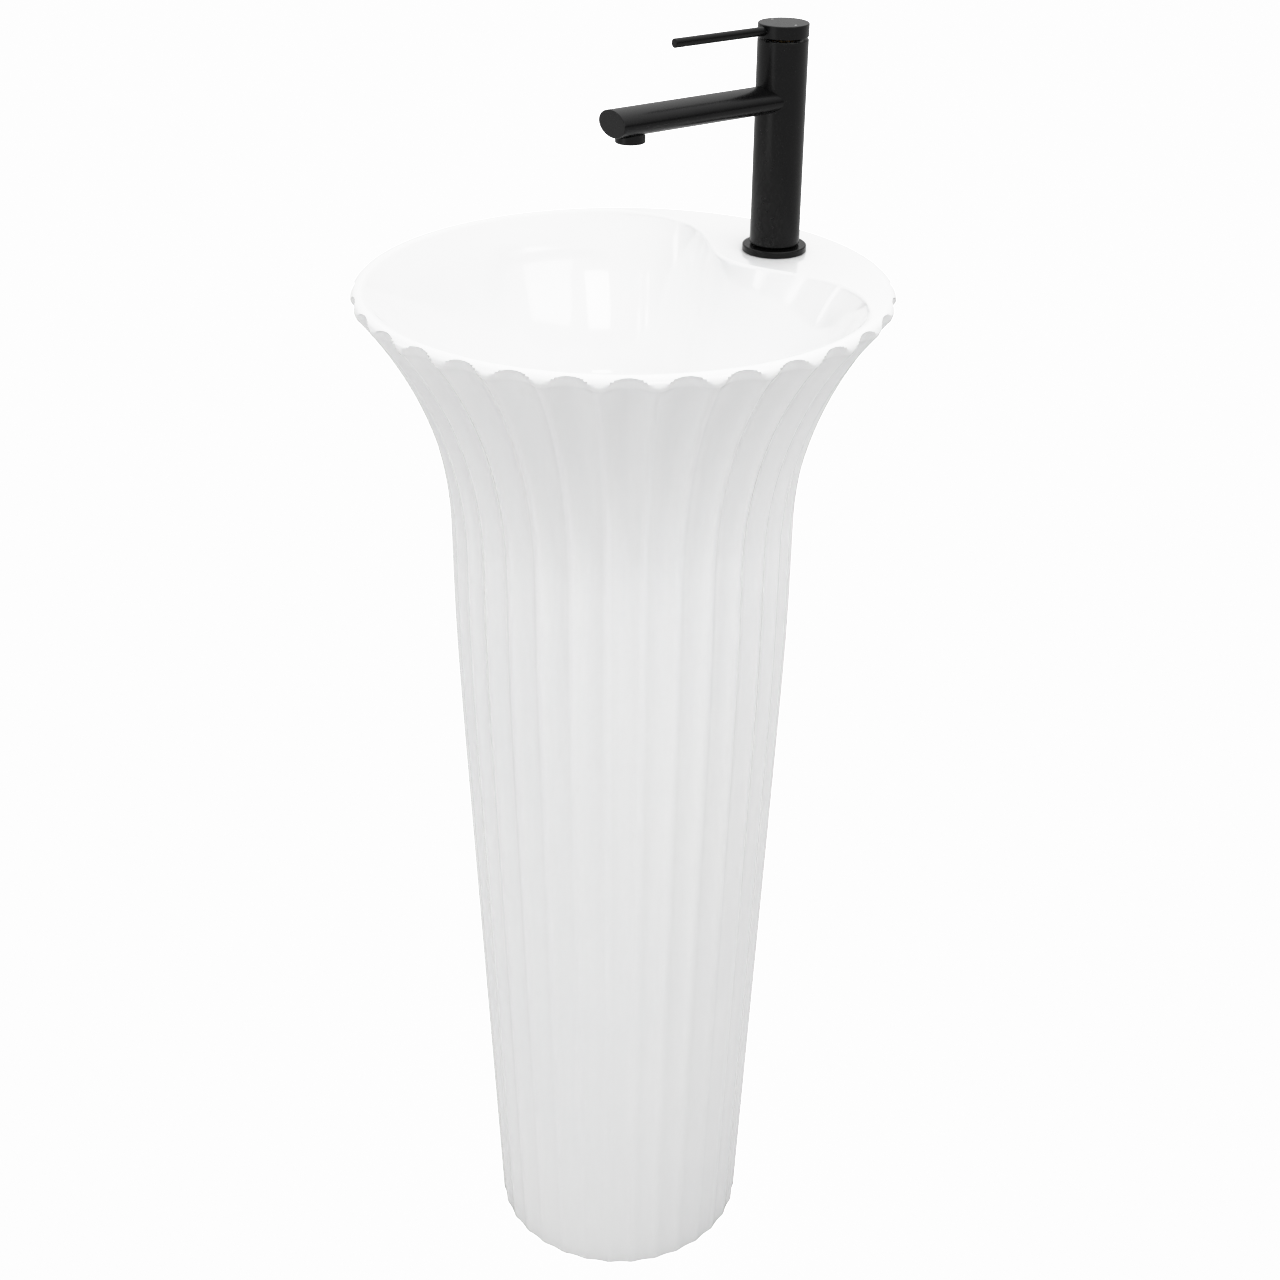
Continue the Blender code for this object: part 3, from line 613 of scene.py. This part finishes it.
def make_handle():
    top, bottom = high("handle_cap").z - PIVOT.z, low("handle_cap").z - PIVOT.z
    radius = high("handle_cap").x
    section = [(0, top), (radius - 0.45, top), (radius, top - 0.45), (radius, bottom + 0.35),
               (radius - 0.35, bottom), (radius - 1.5, bottom), (radius - 1.5, top - 1.5), (6, top - 1.5),
               (6, bottom), (3.45, bottom), (3.45, bottom + 6), (0, bottom + 6)]
    cap = to_object("handle_disc", place(lathe(section, 96, 0.15), PIVOT), "black_metal")
    block = bmesh.new()
    bmesh.ops.create_cube(block, size=1)
    bmesh.ops.scale(block, vec=(10.4, 13.6, 8), verts=block.verts)
    place(block, PIVOT + Vector((0, -11.4, 24.6)))
    boolean(cap, to_object("lever_block", block, "black_metal"), "UNION")
    level = Vector((0, TAP.y, LEVER_Z))
    cut(cap, 3.5, level + Vector((0, -4.3, 0)), level + Vector((0, -25, 0)))
    cut(cap, 2.5, level + Vector((0, 2.5, 0)), level + Vector((0, 25, 0)), 32)
    for x in (-13.7, 13.7):
        cut(cap, 0.95, (x, TAP.y, high("handle_cap").z - 0.12), (x, TAP.y, high("handle_cap").z + 1), 24)
    show(cap, "handle_cap", "handle")
    reach = TAP.y - low("lever_rod").y
    section = [(0, -4.6), (3.35, -4.6), (3.35, 0.35 - reach), (3.0, -reach), (0, -reach)]
    bar = to_object("lever_bar", place(lathe(section, 64, 0.12), level, (0, 1, 0)), "black_metal")
    show(bar, "lever_rod", "handle")
    for name, x in (("hot_dot", -13.7), ("cold_dot", 13.7)):
        disc = lathe([(0, 0.09), (0.9, 0.09), (0.9, 0), (0, 0)], 32, 0.03)
        dot = to_object(name, place(disc, (x, TAP.y, high("handle_cap").z - 0.11)), "enamel")
        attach(dot, "handle")


# The fixings, the waste and the trap

THREAD_ROWS = 4               # rows of points to each turn of a thread


def thread(radius, depth, pitch, bottom, top):
    """The heights of a thread's rows, from its top down, and the function that cuts them to a helix."""
    def shape(turn, at_radius, z):
        if abs(at_radius - radius) > 0.001 or not bottom <= z <= top:
            return at_radius
        part = (z / pitch + turn / (2 * math.pi)) % 1
        runs_out = min((z - bottom) / pitch, (top - z) / pitch, 1)
        return radius - depth * abs(2 * part - 1) * runs_out

    count = round((top - bottom) / pitch * THREAD_ROWS)
    return [mix(top, bottom, i / count) for i in range(count + 1)], shape


def hexagon(corner):
    """A shape that trims a turned piece to a hexagon with its corners this far out."""
    def shape(turn, radius, z):
        from_flat = (turn - math.pi / 2) % (math.pi / 3) - math.pi / 6
        return min(radius, corner * math.cos(math.pi / 6) / math.cos(from_flat))

    return shape


def grips(outer, count, depth, bottom, top):
    """A shape with rounded ribs round its outer wall, for a hand to turn."""
    def shape(turn, radius, z):
        if radius < outer - 0.6:
            return radius
        runs_out = ease(z, bottom, bottom + 1.2) * (1 - ease(z, top - 1.2, top))
        return radius - depth * runs_out * (0.5 - 0.5 * math.cos(count * turn)) ** 0.7

    return shape


def turned(name, node, slot, section, at, body="basin", sides=96, rounding=0.3, shape=None, along=None):
    """A turned piece in a CAD node's place. The section is measured from the point given."""
    piece = to_object(name, place(lathe(section, sides, rounding, shape), at, along), slot)
    return show(piece, node, body)


def nut_section(outer, bore, lip, bottom, top, lip_at_top):
    """A union nut whose outer wall has rows for its grips."""
    wall = [(outer, z) for z in steps(top - 0.6, bottom + 0.6, 12) + [bottom + 0.6]]
    rim = [(outer - 0.6, bottom), (lip, bottom), (lip, bottom + 3), (bore, bottom + 3), (bore, top)]
    if lip_at_top:
        rim = [(outer - 0.6, bottom), (bore, bottom), (bore, top - 3.2), (lip, top - 3.2), (lip, top)]
    return wall + rim + [(outer - 0.6, top)]


def make_fixings():
    rows, shape = thread(4, 0.65, 1.25, -57, 4.5)
    stud = [(0, 5.5), (3.5, 5.5), (4, 5)] + [(4, z) for z in rows] + [(4, -57.2), (3.3, -58), (0, -58)]
    stud_axis = TAP + Vector((0, -8, 0))
    turned("threaded_stud", "mounting_stud", "steel", stud, stud_axis, sides=32, rounding=0, shape=shape)
    top, bottom = high("stud_nut").z - RIM_Z, low("stud_nut").z - RIM_Z
    nut = [(6.6, top), (7.5, top - 0.5), (7.5, bottom + 0.5), (6.6, bottom), (4.7, bottom),
           (4.35, bottom + 0.4), (4.35, top - 0.4), (4.7, top)]
    turned("hexagon_nut", "stud_nut", "steel", nut, stud_axis, rounding=0.1, shape=hexagon(7.5))
    rows, shape = thread(5, 0.5, 1.0, -35, -14)
    inlet = [(4.7, -4.4), (5, -4.7)] + [(5, z) for z in rows]
    inlet += [(5, -35.4), (4.5, -36), (3.4, -36), (3.4, -4.4)]
    for side, x in (("hot", -7.5), ("cold", 7.5)):
        turned(f"{side}_inlet_tail", f"{side}_inlet", "brass", inlet, TAP + Vector((x, 4, 0)), sides=32,
               rounding=0, shape=shape)


def make_waste():
    rows, shape = thread(20.9, 1.0, 2.3, -70, -16)
    flange = [(30.2, 4.2), (31.0, 3.9), (31.45, 3.3), (31.5, 2.6), (31.2, 2.1), (20.9, 2.1)]
    flange += [(20.9, z) for z in rows] + [(20.9, -71), (20.2, -72), (17.2, -72), (17.2, 1.6), (17.6, 2.9)]
    flange += [(18.4, 3.8), (19.5, 4.2)]
    turned("waste_flange_and_tail", "waste_flange", "chrome", flange, DRAIN, sides=64, rounding=0,
           shape=shape)
    top, bottom = high("waste_locknut").z - DRAIN.z, low("waste_locknut").z - DRAIN.z
    nut = [(29, top), (32, top - 1.6), (32, bottom + 1.6), (29, bottom), (22, bottom), (21.3, bottom + 0.7),
           (21.3, top - 0.7), (22, top)]
    turned("hexagon_locknut", "waste_locknut", "brass", nut, DRAIN, rounding=0.2, shape=hexagon(32))
    crown = [(r, 10.5 - 3.3 * (r / 23) ** 2.6) for r in (0, 2.5, 5, 8, 11, 14, 17, 19.5, 21.5, 23)]
    under = [(23.75, 6.8), (24, 6.4), (23.9, 6.0), (23.5, 5.8), (4.3, 5.8), (4.3, 7.9), (0, 7.9)]
    turned("plug_dome", "plug_cap", "chrome", crown + under, DRAIN, "drain_plug", rounding=0)


def bent_pipe(radius, start, bend, corner_y, corner_z, end, sides=48):
    """Rings round a route that runs along Y, bends down and ends at a height."""
    route = [(start, corner_z, 0.0)]
    for i in range(13):
        turn = i * math.pi / 24
        route.append((corner_y - bend + bend * math.sin(turn), corner_z - bend + bend * math.cos(turn), turn))
    route += [(corner_y, mix(corner_z - bend, end, share), math.pi / 2) for share in (0.2, 0.4, 0.6, 0.8, 1)]
    rings = []
    for y, z, turn in route:
        ring = []
        for i in range(sides):
            side = 2 * math.pi * i / sides
            out = radius * math.sin(side)
            ring.append((radius * math.cos(side), y + out * math.sin(turn), z + out * math.cos(turn)))
        rings.append(ring)
    return rings


def make_trap():
    branch_z = (low("trap_outlet_nut").z + high("trap_outlet_nut").z) / 2
    branch = Vector((0, 0, branch_z))
    along_y = (0, 1, 0)
    inlet = [(20.6, -75.2), (20.6, -77.2), (16, -77.2), (16, -228), (14.5, -228), (14.5, -75.2)]
    turned("trap_dip_tube", "trap_inlet_tube", "chrome", inlet, DRAIN, rounding=0.5)
    nut = nut_section(25, 21.2, 16.4, -80.5, -60, False)
    turned("trap_top_nut", "trap_inlet_nut", "chrome", nut, DRAIN, sides=144, rounding=0,
           shape=grips(25, 18, 0.9, -79.5, -61.5))
    nut = nut_section(24, 20.5, 16.4, -162, -141.7, True)
    turned("trap_collar_nut", "trap_body_nut", "chrome", nut, DRAIN, sides=144, rounding=0,
           shape=grips(24, 18, 0.9, -160.5, -143))
    nut = nut_section(24, 20.1, 16.4, 38, 53.5, True)
    turned("trap_branch_nut", "trap_outlet_nut", "chrome", nut, branch, sides=144, rounding=0,
           shape=grips(24, 18, 0.9, 39, 52), along=along_y)
    body = [(20.2, -148), (20.2, -167), (22, -168.4), (27.5, -169.9), (30, -172), (30, -270), (27.6, -270),
            (27.6, -172.5), (16.6, -172.5), (16.6, -148)]
    barrel = to_object("trap_barrel", place(lathe(body, 96, 0.8), DRAIN), "chrome")
    stub = rod(19.8, branch + Vector((0, 28, 0)), branch + Vector((0, 47, 0)), 96)
    boolean(barrel, to_object("trap_branch", stub, "chrome"), "UNION")
    cut(barrel, 16.5, branch + Vector((0, 20, 0)), branch + Vector((0, 48, 0)), 96)
    show(barrel, "trap_body", "basin")
    cup = [(0, -300), (27.4, -300), (27.4, -273.8), (30.3, -273.8), (30.3, -254), (33, -254)]
    cup += [(33.5, z) for z in steps(-254.5, -299, 20)]
    cup += [(33.2, -301.5), (32.2, -303.2), (30.8, -304), (0, -304)]
    turned("trap_bottle_cup", "trap_cup", "chrome", cup, DRAIN, sides=192, rounding=0,
           shape=grips(33.5, 24, 1.1, -296, -262))
    radius, bore, start, bend = 16, 14.2, 32, 18
    corner_y, end = high("outlet_pipe").y - radius, low("outlet_pipe").z
    bm = bmesh.new()
    outer = bent_pipe(radius, start, bend, corner_y, branch_z, end)
    inner = bent_pipe(bore, start, bend, corner_y, branch_z, end)
    rings = [[bm.verts.new(co) for co in ring] for ring in outer + inner[::-1]]
    bridge(bm, rings + [rings[0]])
    bm.transform(Matrix.Scale(MM, 4))
    show(to_object("outlet_elbow_pipe", bm, "chrome"), "outlet_pipe", "basin")


# Stage, lights and camera

def make_camera():
    azimuth, pitch = math.radians(CAMERA_AZIMUTH), math.radians(CAMERA_PITCH)
    yaw, roll = math.radians(CAMERA_YAW), math.radians(CAMERA_ROLL)
    across = Vector((math.cos(azimuth), math.sin(azimuth), 0))
    ahead = Vector((-math.sin(azimuth), math.cos(azimuth), 0))
    up = Vector((0, 0, 1))
    forward = (across * math.sin(yaw) + ahead * math.cos(yaw)) * math.cos(pitch) - up * math.sin(pitch)
    side = across * math.cos(yaw) - ahead * math.sin(yaw)
    top = side.cross(forward)
    rolled_side = side * math.cos(roll) + top * math.sin(roll)
    rolled_top = top * math.cos(roll) - side * math.sin(roll)
    place_of = (up * CAMERA_HEIGHT - ahead * CAMERA_DISTANCE) * MM
    data = bpy.data.cameras.new("camera")
    data.sensor_width = SENSOR
    data.lens = CAMERA_LENS
    camera = bpy.data.objects.new("camera", data)
    turn = Matrix((rolled_side, rolled_top, -forward)).transposed().to_4x4()
    camera.matrix_world = Matrix.Translation(place_of) @ turn
    bpy.context.scene.collection.objects.link(camera)
    bpy.context.scene.camera = camera


def make_floor():
    """A plain white sweep. It glows a little to the camera, so that no grey shows round the object."""
    bm = bmesh.new()
    bmesh.ops.create_circle(bm, cap_ends=True, segments=96, radius=30)
    bmesh.ops.translate(bm, verts=bm.verts, vec=(0, 0, -0.0002))
    floor = to_object("studio_floor", bm, "ceramic")
    made = Surface("pale_floor", Specular_IOR_Level=0.1)
    made.colour(made.noise(3, 2), (0.58, 0.58, 0.58), (0.60, 0.60, 0.60))
    made.roughness(made.noise(20, 3), 0.85, 0.95)
    seen = made.tree.nodes.new("ShaderNodeLightPath").outputs["Is Camera Ray"]
    glow = made.tree.nodes.new("ShaderNodeMath")
    glow.operation = "MULTIPLY"
    glow.inputs[1].default_value = 2.0
    made.tree.links.new(seen, glow.inputs[0])
    made.tree.links.new(glow.outputs["Value"], made.shader.inputs["Emission Strength"])
    made.shader.inputs["Emission Color"].default_value = (1, 1, 1, 1)
    floor.data.materials[0] = made.material


def soft_light(name, centre, target, width, height, watts):
    data = bpy.data.lights.new(name, "AREA")
    data.shape = "RECTANGLE"
    data.size = width
    data.size_y = height
    data.energy = watts
    light = bpy.data.objects.new(name, data)
    light.location = centre
    light.rotation_euler = (Vector(target) - Vector(centre)).to_track_quat("-Z", "Y").to_euler()
    bpy.context.scene.collection.objects.link(light)
    return light


def make_world(horizon, zenith, lobes):
    """A studio dome: dim round the sides and bright overhead, with wide soft lobes of more light.

    The camera itself sees plain white.
    """
    world = bpy.data.worlds.new("studio")
    bpy.context.scene.world = world
    world.use_nodes = True
    nodes, links = world.node_tree.nodes, world.node_tree.links

    def math_node(operation, first, second):
        node = nodes.new("ShaderNodeMath")
        node.operation = operation
        for socket, value in zip(node.inputs, (first, second)):
            if isinstance(value, (int, float)):
                socket.default_value = value
            else:
                links.new(value, socket)
        return node.outputs["Value"]

    direction = nodes.new("ShaderNodeTexCoord").outputs["Generated"]
    split = nodes.new("ShaderNodeSeparateXYZ")
    links.new(direction, split.inputs["Vector"])
    height = math_node("MAXIMUM", split.outputs["Z"], 0.0)
    overhead = math_node("MULTIPLY", math_node("POWER", height, 2.0), zenith - horizon)
    total = math_node("ADD", overhead, horizon)
    for azimuth, elevation, width, strength in lobes:
        rise = math.radians(elevation)
        facing = nodes.new("ShaderNodeVectorMath")
        facing.operation = "DOT_PRODUCT"
        facing.inputs[1].default_value = around(azimuth, math.cos(rise), math.sin(rise))
        links.new(direction, facing.inputs[0])
        lobe = nodes.new("ShaderNodeMapRange")
        lobe.interpolation_type = "SMOOTHSTEP"
        lobe.inputs["From Min"].default_value = math.cos(math.radians(width))
        lobe.inputs["To Max"].default_value = strength
        links.new(facing.outputs["Value"], lobe.inputs["Value"])
        total = math_node("ADD", total, lobe.outputs["Result"])
    seen = nodes.new("ShaderNodeLightPath").outputs["Is Camera Ray"]
    total = math_node("MAXIMUM", total, math_node("MULTIPLY", seen, 2.0))
    links.new(total, nodes["Background"].inputs["Strength"])
    nodes["Background"].inputs["Color"].default_value = (1, 1, 1, 1)


def around(azimuth, distance, height):
    """A point at a view azimuth round the object, in metres."""
    turn = math.radians(azimuth)
    return Vector((math.sin(turn) * distance, -math.cos(turn) * distance, height))


def window(name, azimuth, elevation, distance, size, watts):
    """A soft rectangle of light aimed at the bowl, at a view azimuth and an elevation from it."""
    rise = math.radians(elevation)
    target = Vector((0, 0, 0.85))
    centre = around(azimuth, distance * math.cos(rise), distance * math.sin(rise) + target.z)
    return soft_light(name, centre, target, *size, watts)


def make_lights():
    """Each window also has a glint, which only reflections see, so that it shows in the glaze."""
    make_world(0.12, 2.2, (
        (CAMERA_AZIMUTH + 180, 10, 60, 0.5),
    ))
    window("key_softbox", CAMERA_AZIMUTH + 50, 38, 1.15, (0.5, 0.5), 2.2)
    window("low_window", CAMERA_AZIMUTH - 50, -12, 2.0, (0.9, 0.5), 1.5)
    for name, turn, rise, size, watts, glint in (
        ("front_window", 10.7, 32, (0.95, 0.71), 9.5, 5),
        ("left_window_near", -42, 16, (0.26, 1.1), 2.6, 5.2),
        ("left_window_far", -55, 15, (0.22, 0.9), 2.0, 4),
        ("side_window", -99, 17, (0.3, 0.9), 2.4, 4.8),
    ):
        window(name, CAMERA_AZIMUTH + turn, rise, 2.8, size, watts)
        window(name + "_glint", CAMERA_AZIMUTH + turn, rise, 2.8, size, glint).visible_diffuse = False


def set_film():
    """Rolls the highlights off, so that the white glaze keeps its shape beside the white floor."""
    settings = bpy.context.scene.view_settings
    settings.view_transform = "Standard"
    settings.use_curve_mapping = True
    curve = settings.curve_mapping.curves[3]
    settings.curve_mapping.clip_max_x = 2
    points = ((0.72, 0.715), (0.85, 0.865), (0.95, 0.918), (1.1, 0.945), (1.35, 0.982), (1.6, 1.0))
    curve.points[1].location = (2.0, 1.0)
    for point in points:
        curve.points.new(*point)
    settings.curve_mapping.update()


def paint_other_nodes():
    """Gives each CAD node that still shows its slot's material."""
    slot_of = {part["node"]: part["material_slot"] for part in frame["record"]["subparts"]}
    for name, obj in frame["nodes"].items():
        obj.data.materials.clear()
        obj.data.materials.append(MATERIALS[slot_of[name]])


set_film()
make_camera()
make_floor()
make_lights()
paint_other_nodes()
make_ceramic()
make_tap_body()
make_spout()
make_aerator()
make_handle()
make_fixings()
make_waste()
make_trap()
